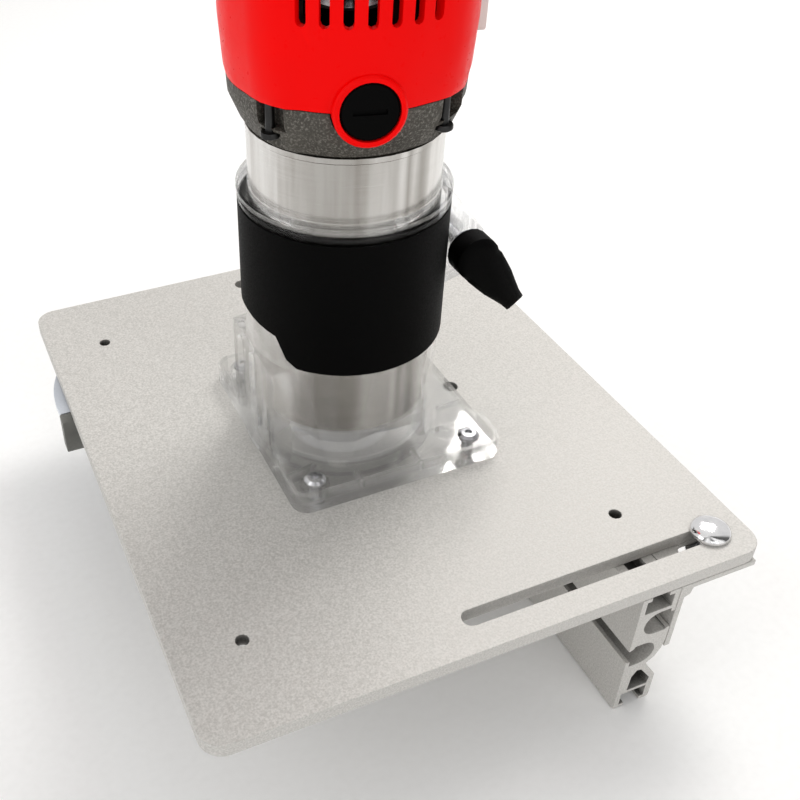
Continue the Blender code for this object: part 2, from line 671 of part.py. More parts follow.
def make_motor_case(motor):
    """The turned case that the base clamps, and the casting between it and the housing."""
    frame = router_frame()
    case = [(BODY_RADIUS - 0.5, BODY_TOP), (BODY_RADIUS + 0.4, BODY_TOP - 0.3),
            (BODY_RADIUS + 0.4, BODY_TOP - 2.0), (BODY_RADIUS, BODY_TOP - 2.4),
            (BODY_RADIUS, BODY_BOTTOM + 1.5), (BODY_RADIUS - 1.5, BODY_BOTTOM),
            (13.3, BODY_BOTTOM), (13.3, BODY_BOTTOM + 8.0),
            (17.0, BODY_BOTTOM + 8.0), (17.0, BODY_BOTTOM + 3.0), (29.8, BODY_BOTTOM + 3.0),
            (29.8, BODY_TOP)]
    turned("motor_case", case, "turned_aluminium", motor, 36, frame, hollow=True)

    low = BODY_TOP + GAP
    top = HOUSING_BOTTOM - GAP
    rings = [housing_ring(29.8, top + 7.0, 0), housing_ring(36.2, top + 7.0, 0),
             housing_ring(36.2, top, 0), housing_ring(38.0, top, 1.2),
             housing_ring(37.7, top - 5.5, 1.2), housing_ring(34.6, low + 3.0, 1.2),
             housing_ring(32.6, low, 0.6), housing_ring(29.8, low, 0)]
    bm = bmesh.new()
    add_loft(bm, rings, frame, closed=True)
    casting = make("motor_casting", bm, "grey_casting", motor)
    bm = bmesh.new()
    for azimuth in POST_AZIMUTHS:
        post = router_frame(azimuth)
        add_box(bm, (34.2, -5.2, low + 8.2), (42.0, 5.2, top + 2.0), post)
        add_box(bm, (33.4, -5.2, low - 1.0), (42.0, 2.6, low + 7.0), post)
    for azimuth in (BRUSH_AZIMUTH, BRUSH_AZIMUTH + 180):
        add_turned(bm, [(11.3, 20.0), (11.3, 44.0)], 28,
                   router_frame(azimuth) @ place(0, 0, BRUSH_Z), "X")
    combine(casting, "DIFFERENCE", make_cutter("casting_pockets", bm, motor))
    bm = bmesh.new()
    for azimuth in POST_AZIMUTHS:
        add_turned(bm, [(1.8, low + 10.0), (1.8, low + 5.0)], 12,
                   router_frame(azimuth) @ place(*HOUSING_SCREW))
    combine(casting, "DIFFERENCE", make_cutter("casting_screw_holes", bm, motor))


def make_housing_screws(motor):
    """Screws up through the ledges in the casting's pockets, to the housing's posts."""
    labels = ("left_front", "right_front", "right_back", "left_back")
    ledge = BODY_TOP + GAP + 7.0
    profile = [(1.5, HOUSING_BOTTOM - GAP), (1.5, ledge - GAP), (2.8, ledge - GAP),
               (3.0, ledge - 0.7), (3.0, ledge - 1.9), (2.4, ledge - 2.4)]
    for label, azimuth in zip(labels, POST_AZIMUTHS):
        frame = router_frame(azimuth) @ place(*HOUSING_SCREW)
        turned("housing_screw_" + label, profile, "steel", motor, 12, frame)


def make_housing(motor):
    """The red housing: four posts, vents front and back, brush bosses, switch opening."""
    frame = router_frame()
    inner = HOUSING_RADIUS - HOUSING_WALL
    outer = [(HOUSING_RADIUS - 1.5, HOUSING_BOTTOM, 1.3), (HOUSING_RADIUS - 0.9, 148.0, 1.5),
             (HOUSING_RADIUS, 162.0, 1.7), (HOUSING_RADIUS + 0.4, 190.0, 1.7),
             (HOUSING_RADIUS, HOUSING_TOP, 1.7)]
    rings = [housing_ring(radius, height, post) for radius, height, post in outer]
    rings += [housing_ring(inner, HOUSING_TOP, 0), housing_ring(inner, HOUSING_BOTTOM, 0)]
    bm = bmesh.new()
    add_loft(bm, rings, frame, closed=True)
    housing = make("motor_housing", bm, "red_plastic", motor)

    bm = bmesh.new()
    for azimuth in (BRUSH_AZIMUTH, BRUSH_AZIMUTH + 180):
        boss = router_frame(azimuth) @ place(0, 0, BRUSH_Z)
        add_turned(bm, [(10.9, inner - 1.5), (10.9, 39.6), (10.3, 40.2), (8.6, 40.2)], 32, boss, "X")
    bosses = make_cutter("brush_bosses", bm, motor)
    combine(housing, "UNION", bosses)

    bm = bmesh.new()
    for azimuth in (BRUSH_AZIMUTH, BRUSH_AZIMUTH + 180):
        boss = router_frame(azimuth) @ place(0, 0, BRUSH_Z)
        add_turned(bm, [(9.0, 30.0), (9.0, 44.0)], 32, boss, "X")
        for i in range(-3, 4):
            vent = router_frame(azimuth + 9.6 * i)
            outline = arc(0, 171.0, 1.5, 180, 360, 4) + arc(0, 194.0, 1.5, 0, 180, 4)
            add_prism(bm, outline, 33.0, 44.0, "X", frame=vent)
    add_box(bm, (33.0, -9.3, ROCKER_Z - 18.0), (46.0, 9.3, ROCKER_Z + 18.0),
            router_frame(SWITCH_AZIMUTH))
    combine(housing, "DIFFERENCE", make_cutter("housing_openings", bm, motor))


def make_end_cap(motor):
    """The cap over the top of the housing, with a ring of vents, its screws and the cord gland."""
    frame = router_frame()
    low = HOUSING_TOP + GAP
    rings = [housing_ring(HOUSING_RADIUS, low, 1.7), housing_ring(HOUSING_RADIUS - 0.2, low + 4, 1.7),
             housing_ring(HOUSING_RADIUS - 1.8, low + 7.5, 1.5),
             housing_ring(HOUSING_RADIUS - 5.5, ROUTER_TOP - 1.2, 0.6),
             housing_ring(30.0, ROUTER_TOP, 0), housing_ring(6.3, ROUTER_TOP, 0),
             housing_ring(6.3, ROUTER_TOP - 2.6, 0), housing_ring(29.0, ROUTER_TOP - 2.6, 0),
             housing_ring(34.5, low + 6, 0), housing_ring(36.9, low, 0)]
    bm = bmesh.new()
    add_loft(bm, rings, frame, closed=True)
    cap = make("end_cap", bm, "black_plastic", motor)
    bm = bmesh.new()
    for i in range(12):
        vent = router_frame(30.0 * i + 15.0)
        outline = arc(24.5, 0, 1.2, -90, 90, 2) + arc(15.0, 0, 1.2, 90, 270, 2)
        add_prism(bm, outline, ROUTER_TOP - 4, ROUTER_TOP + 2, frame=vent)
    combine(cap, "DIFFERENCE", make_cutter("cap_vents", bm, motor))
    gland = [(5.0, ROUTER_TOP - 5.0), (8.0, ROUTER_TOP - 5.0), (8.0, ROUTER_TOP - 2.9),
             (6.0, ROUTER_TOP - 2.9), (6.0, ROUTER_TOP + 0.3), (7.6, ROUTER_TOP + 0.3),
             (7.6, ROUTER_TOP + 1.6), (3.6, ROUTER_TOP + 2.0), (3.6, ROUTER_TOP - 5.0)]
    turned("cord_gland", gland[1:], "rubber", motor, 14, frame, hollow=True)


def make_switch(motor, rocker_body):
    """A pale plate in the housing's right side, with a rocker and the switch behind it."""
    frame = router_frame(SWITCH_AZIMUTH)
    plate_out = 40.9
    outline = rounded_box(-9.0, 9.0, ROCKER_Z - 17.7, ROCKER_Z + 17.7, 2.5, 3)
    window = rounded_box(-5.4, 5.4, ROCKER_Z - 9.5, ROCKER_Z + 9.5, 0.6, 2)
    prism("switch_plate", outline, 37.6, plate_out, "white_plastic", motor, "X", [window], frame)
    side = [(38.4, -7.5), (41.4, -8.3), (40.4, 0.0), (42.4, 8.3), (38.4, 7.5)]
    side = [(x, z + ROCKER_Z) for x, z in side]
    prism("switch_rocker", side, -5.0, 5.0, "black_plastic", rocker_body, "Y", frame=frame)
    bm = bmesh.new()
    add_box(bm, (22.0, -8.0, 162.0), (36.6, 8.0, 187.0), frame)
    make("switch_body", bm, "black_plastic", motor)


def switch_pivot():
    """The rocker's axis, in the part's frame."""
    point = router_frame(SWITCH_AZIMUTH) @ Vector((39.6, 0.0, ROCKER_Z))
    return point.x, point.y, point.z


# ---------------------------------------------------------------- brushes

def make_brushes(motor):
    """On each side: a brass holder with its carbon brush, spring and screw-in cap."""
    for label, azimuth in (("front", BRUSH_AZIMUTH), ("back", BRUSH_AZIMUTH + 180)):
        frame = router_frame(azimuth) @ place(0, 0, BRUSH_Z)
        holder = [(-4.2, -5.2), (4.2, -5.2), (4.2, 5.2), (-4.2, 5.2)]
        channel = [(-3.2, -4.2), (3.2, -4.2), (3.2, 4.2), (-3.2, 4.2)]
        prism("brush_holder_" + label, holder, 12.0, 35.0, "brass", motor, "X", [channel], frame)
        bm = bmesh.new()
        add_box(bm, (10.6, -2.8, -3.8), (23.0, 2.8, 3.8), frame)
        make("carbon_brush_" + label, bm, "carbon", motor)
        make_spring("brush_spring_" + label, frame, 23.4, 34.6, motor)
        cap = [(8.0, 35.4), (8.6, 36.0), (8.7, 39.4), (8.2, 39.9), (1.5, 39.9)]
        piece = turned("brush_cap_" + label, cap, "black_plastic", motor, 32, frame, "X")
        bm = bmesh.new()
        add_box(bm, (39.2, -5.0, -0.8), (42.0, 5.0, 0.8), frame)
        combine(piece, "DIFFERENCE", make_cutter("cap_slot_" + label, bm, motor))


def make_spring(name, frame, start, end, motor):
    """A coil spring along X with four-sided wire."""
    turns = 4
    steps = 8
    radius = 2.2
    wire = 0.35
    rings = []
    for i in range(turns * steps + 1):
        angle = 2 * pi * i / steps
        x = start + wire + (end - start - 2 * wire) * i / (turns * steps)
        ring = []
        for u, v in ((-wire, -wire), (wire, -wire), (wire, wire), (-wire, wire)):
            ring.append((x + v, (radius + u) * cos(angle), (radius + u) * sin(angle)))
        rings.append(ring)
    bm = bmesh.new()
    add_loft(bm, rings, frame)
    make(name, bm, "steel", motor)


# ---------------------------------------------------------------- motor inside

def slotted_disc(inner_radius, outer_radius, count, share, steps=3):
    """A toothed outline: count teeth out to outer_radius, each share of its pitch wide."""
    points = []
    pitch = 360 / count
    for i in range(count):
        start = i * pitch
        points += arc(0, 0, outer_radius, start, start + pitch * share, steps)
        points += arc(0, 0, inner_radius, start + pitch * share * 1.08, start + pitch * 0.93, 1)
    return points


def make_stator(motor):
    """The field core and its two coils, fixed in the motor case."""
    frame = router_frame()
    prism("stator_core", circle(0, 0, 29.4, 24), 72.0, 120.0, "electrical_steel", motor,
          holes=[circle(0, 0, 17.2, 20)], frame=frame)
    for label, low, high in (("lower", 61.0, 71.7), ("upper", 120.3, 131.0)):
        profile = [(18.0, low + 2), (20.0, low), (26.0, low), (28.0, low + 2), (28.0, high),
                   (18.0, high)][::-1]
        turned("stator_coil_" + label, profile, "copper", motor, 14, frame, hollow=True)


def make_spindle(spindle):
    """Everything that spins: shaft, armature, commutator, fan, collet and its nut."""
    frame = router_frame()
    shaft = [(3.2, 171.0), (3.7, 170.5), (3.7, 156.0), (SHAFT_RADIUS, 156.0),
             (SHAFT_RADIUS, 15.6), (6.0, 15.6), (6.0, 8.3), (3.4, 8.3), (3.4, 12.0), (0.6, 12.5)]
    turned("armature_shaft", shaft, "steel", spindle, 14, frame)
    bore = [circle(0, 0, SHAFT_RADIUS + GAP + 0.1, 14)]
    prism("armature_core", slotted_disc(13.6, 16.4, 12, 0.62, 1), 74.0, 118.0, "electrical_steel",
          spindle, holes=bore, frame=frame)
    ends = [[(5.0, low), (11.0, low), (15.6, low + 4), (15.6, high - 3), (12.0, high), (5.0, high)]
            for low, high in ((63.0, 73.7), (118.3, 130.0))]
    winding = turned("armature_winding", ends[0][::-1], "copper", spindle, 14, frame, hollow=True)
    bm = bmesh.new()
    for i in range(0, 12, 2):
        add_box(bm, (14.0, -0.55, 70.0), (15.2, 0.55, 122.0), router_frame(30.0 * i + 24.0))
    combine(winding, "UNION", make_cutter("slot_wires", bm, spindle))
    bm = bmesh.new()
    add_turned(bm, ends[1][::-1], 14, frame, hollow=True)
    combine(winding, "UNION", make_cutter("upper_winding", bm, spindle))
    prism("commutator", slotted_disc(9.2, 10.2, 12, 0.86, 1), 137.0, 154.0, "copper", spindle,
          holes=bore, frame=frame)
    prism("cooling_fan", slotted_disc(11.0, 26.5, 11, 0.22, 1), 36.0, 45.0, "black_plastic",
          spindle, holes=bore, frame=frame)
    turned("collet", tube_profile(3.2, 5.8, 5.7, 8.0, 0.5), "steel", spindle, 14, frame, hollow=True)
    rings = [circle_ring(6.3, 13.5), hex_ring(8.0, 13.5), hex_ring(8.5, 12.8), hex_ring(8.5, 4.3),
             hex_ring(7.8, 3.5), circle_ring(4.4, 3.5), circle_ring(4.4, 4.7), circle_ring(6.3, 5.6)]
    bm = bmesh.new()
    add_loft(bm, rings, frame, closed=True)
    make("collet_nut", bm, "steel", spindle)


def make_bearings(motor):
    """Ball bearings at both ends of the shaft, and the bridge that holds the upper one."""
    frame = router_frame()
    for label, inner, outer, low, high in (("lower", 5.0, 13.0, 20.4, 27.7),
                                           ("upper", 4.0, 11.0, 157.0, 164.0)):
        profile = tube_profile(inner, outer, low, high, 0.4)
        turned(label + "_bearing", profile, "steel", motor, 16, frame, hollow=True)
    cap = [(7.0, BODY_BOTTOM - GAP), (28.0, BODY_BOTTOM - GAP), (27.0, BODY_BOTTOM - 2.0),
           (19.0, BODY_BOTTOM - 4.5), (12.0, BODY_BOTTOM - 6.0), (7.0, BODY_BOTTOM - 6.0)]
    turned("bearing_cap", cap, "black_plastic", motor, 28, frame, hollow=True)
    profile = [(11.3, 166.0), (13.6, 166.0), (13.6, 161.0), (36.6, 161.0), (36.6, 157.6),
               (11.3, 157.6)]
    turned("bearing_bridge", profile, "black_plastic", motor, 22, frame, hollow=True)


# ---------------------------------------------------------------- assembly

def main():
    for obj in list(bpy.data.objects):
        bpy.data.objects.remove(obj, do_unlink=True)
    make_plate()
    fence = body("fence_axis")
    flange_bottom = make_fence(fence)
    make_bracket_bolts(fence)
    make_fence_fasteners(fence, flange_bottom)
    slider = body("gauge_slider_axis", *PIVOT)
    head = body("gauge_head_axis", *PIVOT)
    gauge_knob = body("gauge_knob_axis", *PIVOT)
    make_gauge(slider, head, gauge_knob)
    make_clear_base()
    make_band()
    make_base_screws()
    make_clamp(body("clamp_axis", ROUTER_X + CLAMP_X, 0, PLATE_TOP + CLAMP_Z))
    motor = body("motor_axis", ROUTER_X, 0, PLATE_TOP)
    make_motor_case(motor)
    make_housing_screws(motor)
    make_housing(motor)
    make_end_cap(motor)
    make_switch(motor, body("rocker_axis", *switch_pivot()))
    make_brushes(motor)
    make_stator(motor)
    make_bearings(motor)
    make_spindle(body("spindle_axis", ROUTER_X, 0, PLATE_TOP))


main()
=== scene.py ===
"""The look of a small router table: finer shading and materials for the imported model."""
import bpy
import bmesh
import json
from math import radians
from mathutils import Matrix, Vector


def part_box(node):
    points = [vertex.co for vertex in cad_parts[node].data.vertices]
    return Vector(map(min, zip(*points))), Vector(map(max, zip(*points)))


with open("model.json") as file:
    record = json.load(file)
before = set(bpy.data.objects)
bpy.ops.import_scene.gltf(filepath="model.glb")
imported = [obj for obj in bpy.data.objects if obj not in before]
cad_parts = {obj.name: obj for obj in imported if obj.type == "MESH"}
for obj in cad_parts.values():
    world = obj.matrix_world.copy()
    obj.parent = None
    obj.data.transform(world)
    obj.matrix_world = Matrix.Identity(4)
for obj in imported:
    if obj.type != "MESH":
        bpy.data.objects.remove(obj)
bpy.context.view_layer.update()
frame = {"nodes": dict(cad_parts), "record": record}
nodes = frame["nodes"]

# How bright the turned case looks by direction, from -180 degrees (0) to 180 degrees (1).
# These bands stand for reflections and are painted in the case's material.
COLLAR_BANDS = ((0.0, 1.0), (0.05, 0.95), (0.09, 0.72), (0.15, 0.5), (0.20, 0.42), (0.23, 0.75),
                (0.262, 0.70), (0.275, 1.0), (0.285, 0.45), (0.295, 0.95), (0.31, 0.40),
                (0.322, 0.5), (0.335, 1.0), (0.40, 0.85), (0.45, 0.35), (0.55, 0.9),
                (0.70, 0.5), (0.85, 1.0))

# Brightness of the studio's walls by direction, from -180 degrees (0) to 180 degrees (1).
WALL_BANDS = ((0.0, 1.3), (0.06, 0.10), (0.10, 1.5), (0.15, 1.3), (0.19, 0.35), (0.225, 0.30),
              (0.27, 1.4), (0.34, 1.5), (0.38, 0.12), (0.44, 0.2), (0.48, 1.1), (0.70, 1.1),
              (0.93, 1.0), (0.99, 1.3))
WALL_TINT = (1.0, 0.99, 0.975)
WALL_STRENGTH = 0.74

# Widths of the rounded edges, and the angles above which an edge is sharp or is rounded.
BEVELS = {"table_plate": 0.00045, "fence_profile": 0.0002, "fence_bracket": 0.0003,
          "gauge_beam": 0.0003, "gauge_arm": 0.0003, "gauge_protractor": 0.0002}
SHARP_ANGLE = radians(33)
BEVEL_ANGLE = radians(50)
WELD_DISTANCE = 0.000004

# The camera, from the plate's front left top corner.
CAMERA_FROM_CORNER = Vector((-0.0391, -0.1690, 0.2698))
CAMERA_RIGHT = Vector((0.92169, -0.38790, -0.00454))
CAMERA_UP = Vector((0.24054, 0.56229, 0.79118))
CAMERA_AHEAD = Vector((0.30435, 0.73032, -0.61156))
CAMERA_LENS = 47.38
CAMERA_SHIFT = (0.1205, -0.035)

FLOOR_HALF_WIDTH = 3.0
FLOOR_DROP = 0.0005
LIGHT_TARGET = (0.0, 0.0, 0.08)


def fill_ramp(ramp, stops, tint=(1.0, 1.0, 1.0)):
    """Fills a colour ramp from (place, brightness) pairs."""
    for index, (place, shade) in enumerate(stops):
        stop = ramp.elements[0] if index == 0 else ramp.elements.new(place)
        stop.position = place
        stop.color = (*(shade * part for part in tint), 1.0)


# ---------------------------------------------------------------- material helpers

class Surface:
    """A Principled material with helpers for procedural detail, in metres of the object."""

    def __init__(self, name, roughness, metallic=0.0, **sockets):
        self.material = bpy.data.materials.new(name)
        self.material.use_nodes = True
        self.tree = self.material.node_tree
        self.shader = self.tree.nodes["Principled BSDF"]
        self.shader.inputs["Roughness"].default_value = roughness
        self.shader.inputs["Metallic"].default_value = metallic
        for socket, value in sockets.items():
            self.shader.inputs[socket.replace("_", " ")].default_value = value
        self.coords = self.node("ShaderNodeTexCoord").outputs["Object"]

    def node(self, kind, **settings):
        made = self.tree.nodes.new(kind)
        for key, value in settings.items():
            setattr(made, key, value)
        return made

    def link(self, source, target):
        self.tree.links.new(source, target)

    def stretched(self, scale):
        """Object coordinates scaled by (x, y, z)."""
        mapping = self.node("ShaderNodeMapping")
        mapping.inputs["Scale"].default_value = scale
        self.link(self.coords, mapping.inputs["Vector"])
        return mapping.outputs["Vector"]

    def noise(self, scale, detail=2.0, vector=None, roughness=0.5):
        made = self.node("ShaderNodeTexNoise")
        made.inputs["Scale"].default_value = scale
        made.inputs["Detail"].default_value = detail
        made.inputs["Roughness"].default_value = roughness
        self.link(vector or self.coords, made.inputs["Vector"])
        return made.outputs["Fac"]

    def ramp(self, value, low, high, start=0.0, end=1.0):
        """Maps low..high of a value to start..end."""
        made = self.node("ShaderNodeMapRange")
        for socket, number in (("From Min", low), ("From Max", high), ("To Min", start),
                               ("To Max", end)):
            made.inputs[socket].default_value = number
        self.link(value, made.inputs["Value"])
        return made.outputs["Result"]

    def mix(self, factor, first, second):
        """A colour between two colours or colour outputs."""
        made = self.node("ShaderNodeMix", data_type="RGBA")
        for index, value in ((6, first), (7, second)):
            if isinstance(value, tuple):
                made.inputs[index].default_value = (*value, 1.0)
            else:
                self.link(value, made.inputs[index])
        self.link(factor, made.inputs[0])
        return made.outputs[2]

    def reflections(self, colour, dark, centre, stops):
        """The colour, darkened in upright bands round the Z axis at a centre on X."""
        shift = self.node("ShaderNodeMapping")
        shift.inputs["Location"].default_value = (-centre, 0.0, 0.0)
        self.link(self.coords, shift.inputs["Vector"])
        around = self.node("ShaderNodeTexGradient", gradient_type="RADIAL")
        self.link(shift.outputs["Vector"], around.inputs["Vector"])
        bands = self.node("ShaderNodeValToRGB")
        self.link(around.outputs["Fac"], bands.inputs["Fac"])
        fill_ramp(bands.color_ramp, stops)
        return self.mix(bands.outputs["Color"], dark, colour)

    def painted_recess_shade(self, colour, dark, distance, low, high):
        """The colour with painted shade: darkened inside holes and slots by how far the piece
        closes a point in.
        """
        made = self.node("ShaderNodeAmbientOcclusion", samples=8, only_local=True)
        made.inputs["Distance"].default_value = distance
        return self.mix(self.ramp(made.outputs["AO"], low, high), dark, colour)

    def colour(self, output):
        self.link(output, self.shader.inputs["Base Color"])

    def roughness(self, output):
        self.link(output, self.shader.inputs["Roughness"])

    def bump(self, height, distance, strength=1.0):
        """Adds a bump, on top of the ones already there; distance in metres."""
        made = self.node("ShaderNodeBump")
        made.inputs["Distance"].default_value = distance
        made.inputs["Strength"].default_value = strength
        self.link(height, made.inputs["Height"])
        normal = self.shader.inputs["Normal"]
        if normal.is_linked:
            self.link(normal.links[0].from_socket, made.inputs["Normal"])
        self.link(made.outputs["Normal"], normal)


# ---------------------------------------------------------------- materials

def anodised_aluminium():
    """Sandblasted and clear anodised: a pale warm grey with a fine metallic grain, and painted
    shade in its holes and slots.
    """
    surface = Surface("anodised_aluminium", 0.55, 0.22, Specular_IOR_Level=0.3)
    grain = surface.noise(1500, 2.0)
    cloud = surface.noise(9, 3.0)
    speckled = surface.mix(surface.ramp(grain, 0.32, 0.68), (0.47, 0.46, 0.435),
                           (0.66, 0.645, 0.62))
    tone = surface.mix(surface.ramp(cloud, 0.35, 0.7, 0.0, 0.16), speckled, (0.68, 0.665, 0.64))
    # Painted shade: the grey goes near black inside holes, slots and other closed-in places.
    surface.colour(surface.painted_recess_shade(tone, (0.035, 0.033, 0.028), 0.011, 0.30, 0.80))
    surface.roughness(surface.ramp(grain, 0.3, 0.7, 0.5, 0.68))
    surface.bump(grain, 0.00006, 0.55)
    return surface.material


def satin_metal(name, light, dark, roughness, metallic=1.0, grain=900, bump=0.00002):
    """A machined or plated metal with fine grain, soft blotches and uneven gloss."""
    surface = Surface(name, roughness, metallic)
    fine = surface.noise(grain, 3.0)
    blotch = surface.noise(60, 3.0)
    tone = surface.mix(surface.ramp(blotch, 0.3, 0.7), light, dark)
    surface.colour(surface.mix(surface.ramp(fine, 0.42, 0.62, 0.0, 0.35), tone, dark))
    surface.roughness(surface.ramp(blotch, 0.3, 0.7, roughness * 0.8, roughness * 1.3))
    surface.bump(fine, bump, 0.4)
    return surface.material


def turned_aluminium():
    """A lathe-turned, polished case: fine rings round the axis and faint vertical wear."""
    surface = Surface("turned_aluminium", 0.22, 1.0)
    rings = surface.noise(1.0, 3.0, surface.stretched((30, 30, 5200)))
    wear = surface.noise(1.0, 3.0, surface.stretched((240, 240, 14)))
    tone = surface.mix(surface.ramp(wear, 0.35, 0.7), (0.74, 0.73, 0.71), (0.50, 0.48, 0.455))
    bright = surface.mix(surface.ramp(rings, 0.4, 0.65, 0.0, 0.3), tone, (0.86, 0.85, 0.83))
    low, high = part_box("motor_case")
    surface.colour(surface.reflections(bright, (0.13, 0.115, 0.09), (low[0] + high[0]) / 2,
                                       COLLAR_BANDS))
    surface.roughness(surface.ramp(rings, 0.3, 0.7, 0.15, 0.28))
    surface.bump(rings, 0.00001, 0.4)
    return surface.material


def chrome():
    """Polished chrome with hair-fine scratches."""
    surface = Surface("chrome", 0.07, 1.0)
    scratches = surface.noise(1.0, 4.0, surface.stretched((2600, 220, 900)))
    haze = surface.noise(160, 3.0)
    surface.colour(surface.mix(surface.ramp(haze, 0.35, 0.7), (0.88, 0.88, 0.89),
                               (0.72, 0.72, 0.74)))
    surface.roughness(surface.ramp(scratches, 0.45, 0.75, 0.06, 0.24))
    surface.bump(scratches, 0.000006, 0.4)
    return surface.material


def moulded_plastic(name, colour, dark, roughness, grain, depth, specular=0.5):
    """Injection-moulded plastic: a fine skin texture and slight tone and gloss drift."""
    surface = Surface(name, roughness, Specular_IOR_Level=specular)
    skin = surface.noise(grain, 2.0)
    drift = surface.noise(22, 3.0)
    surface.colour(surface.mix(surface.ramp(drift, 0.3, 0.7), colour, dark))
    surface.roughness(surface.ramp(skin, 0.3, 0.7, roughness * 0.82, roughness * 1.2))
    surface.bump(skin, depth, 0.5)
    return surface.material


def red_plastic():
    """Bright glossy red with a very soft orange peel."""
    surface = Surface("red_plastic", 0.34, Specular_IOR_Level=0.07)
    peel = surface.noise(420, 2.0)
    drift = surface.noise(16, 3.0)
    surface.colour(surface.mix(surface.ramp(drift, 0.3, 0.7), (0.98, 0.0005, 0.0005),
                               (0.88, 0.0003, 0.0003)))
    surface.roughness(surface.ramp(peel, 0.3, 0.7, 0.27, 0.40))
    surface.bump(peel, 0.00002, 0.35)
    return surface.material


def grey_casting():
    """Dark textured paint over a casting, with paler specks on the grain's tops."""
    surface = Surface("grey_casting", 0.6, 0.25)
    grain = surface.noise(1350, 3.0, roughness=0.65)
    patch = surface.noise(70, 3.0)
    base = surface.mix(surface.ramp(patch, 0.3, 0.7), (0.042, 0.038, 0.031), (0.072, 0.066, 0.055))
    surface.colour(surface.mix(surface.ramp(grain, 0.50, 0.68), base, (0.19, 0.178, 0.155)))
    surface.roughness(surface.ramp(grain, 0.4, 0.7, 0.72, 0.42))
    surface.bump(grain, 0.00022, 0.8)
    return surface.material


def clear_plastic():
    """Water-clear polycarbonate with a moulded waviness."""
    surface = Surface("clear_plastic", 0.03, Transmission_Weight=1.0, IOR=1.46, Alpha=0.42)
    wave = surface.noise(55, 2.0)
    fine = surface.noise(700, 2.0)
    surface.colour(surface.mix(surface.ramp(wave, 0.3, 0.7), (0.985, 0.99, 0.99),
                               (0.95, 0.962, 0.965)))
    surface.roughness(surface.ramp(fine, 0.35, 0.7, 0.015, 0.06))
    surface.bump(wave, 0.0006, 0.10)
    return surface.material


def laminated_steel():
    """Stacked sheets: fine lines across the axis."""
    surface = Surface("electrical_steel", 0.45, 0.9)
    sheets = surface.noise(1.0, 2.0, surface.stretched((8, 8, 1900)))
    surface.colour(surface.mix(surface.ramp(sheets, 0.4, 0.6), (0.13, 0.13, 0.14),
                               (0.34, 0.34, 0.36)))
    surface.roughness(surface.ramp(sheets, 0.4, 0.6, 0.6, 0.35))
    surface.bump(sheets, 0.0001, 0.5)
    return surface.material


def wound_copper():
    """Enamelled wire laid in bundles."""
    surface = Surface("copper", 0.3, 0.9)
    wires = surface.noise(1.0, 2.0, surface.stretched((700, 700, 120)))
    surface.colour(surface.mix(surface.ramp(wires, 0.35, 0.65), (0.42, 0.15, 0.05),
                               (0.86, 0.42, 0.20)))
    surface.roughness(surface.ramp(wires, 0.35, 0.65, 0.5, 0.25))
    surface.bump(wires, 0.0003, 0.6)
    return surface.material


def build_materials():
    """One material for each slot of the record."""
    black = moulded_plastic("black_plastic", (0.0008, 0.0008, 0.0008), (0.0016, 0.0016, 0.0016),
                            0.55, 1900, 0.00003, 0.04)
    return {
        "anodised_aluminium": anodised_aluminium(),
        "dark_anodised": satin_metal("dark_anodised", (0.24, 0.24, 0.225), (0.15, 0.15, 0.14),
                                     0.45, 0.7),
        "pale_aluminium": satin_metal("pale_aluminium", (0.72, 0.76, 0.82), (0.60, 0.63, 0.69),
                                      0.36, 0.8),
        "turned_aluminium": turned_aluminium(),
        "chrome": chrome(),
        "steel": satin_metal("steel", (0.66, 0.66, 0.67), (0.44, 0.44, 0.46), 0.24),
        "electrical_steel": laminated_steel(),
        "copper": wound_copper(),
        "brass": satin_metal("brass", (0.82, 0.64, 0.30), (0.60, 0.43, 0.17), 0.28),
        "carbon": moulded_plastic("carbon", (0.03, 0.03, 0.032), (0.015, 0.015, 0.016), 0.6, 1500,
                                  0.00008),
        "black_plastic": black,
        "red_plastic": red_plastic(),
        "grey_casting": grey_casting(),
        "clear_plastic": clear_plastic(),
        "white_plastic": moulded_plastic("white_plastic", (0.80, 0.79, 0.76), (0.70, 0.69, 0.66),
                                         0.38, 1600, 0.00003),
        "rubber": moulded_plastic("rubber", (0.018, 0.018, 0.018), (0.030, 0.029, 0.028), 0.8, 900,
                                  0.0001),
    }


materials = build_materials()
slot_of = {part["node"]: part["material_slot"] for part in frame["record"]["subparts"]}


# ---------------------------------------------------------------- finer shading of CAD nodes

def smooth_group():
    """Geometry nodes that weld a mesh and shade it smooth, except across sharp edges."""
    group = bpy.data.node_groups.new("weld_and_smooth", "GeometryNodeTree")
    group.interface.new_socket("Geometry", in_out="INPUT", socket_type="NodeSocketGeometry")
    group.interface.new_socket("Geometry", in_out="OUTPUT", socket_type="NodeSocketGeometry")
    new = group.nodes.new
    link = group.links.new
    start = new("NodeGroupInput")
    end = new("NodeGroupOutput")
    merge = new("GeometryNodeMergeByDistance")
    merge.inputs["Distance"].default_value = WELD_DISTANCE
    angle = new("GeometryNodeInputMeshEdgeAngle")
    sharp = new("FunctionNodeCompare")
    sharp.data_type = "FLOAT"
    sharp.operation = "GREATER_THAN"
    sharp.inputs[1].default_value = SHARP_ANGLE
    faces = new("GeometryNodeSetShadeSmooth")
    faces.domain = "FACE"
    edges = new("GeometryNodeSetShadeSmooth")
    edges.domain = "EDGE"
    edges.inputs["Shade Smooth"].default_value = False
    link(start.outputs[0], merge.inputs["Geometry"])
    link(merge.outputs["Geometry"], faces.inputs["Geometry"])
    link(faces.outputs["Geometry"], edges.inputs["Geometry"])
    link(angle.outputs["Unsigned Angle"], sharp.inputs[0])
    link(sharp.outputs["Result"], edges.inputs["Selection"])
    link(edges.outputs["Geometry"], end.inputs[0])
    return group


SMOOTH = smooth_group()


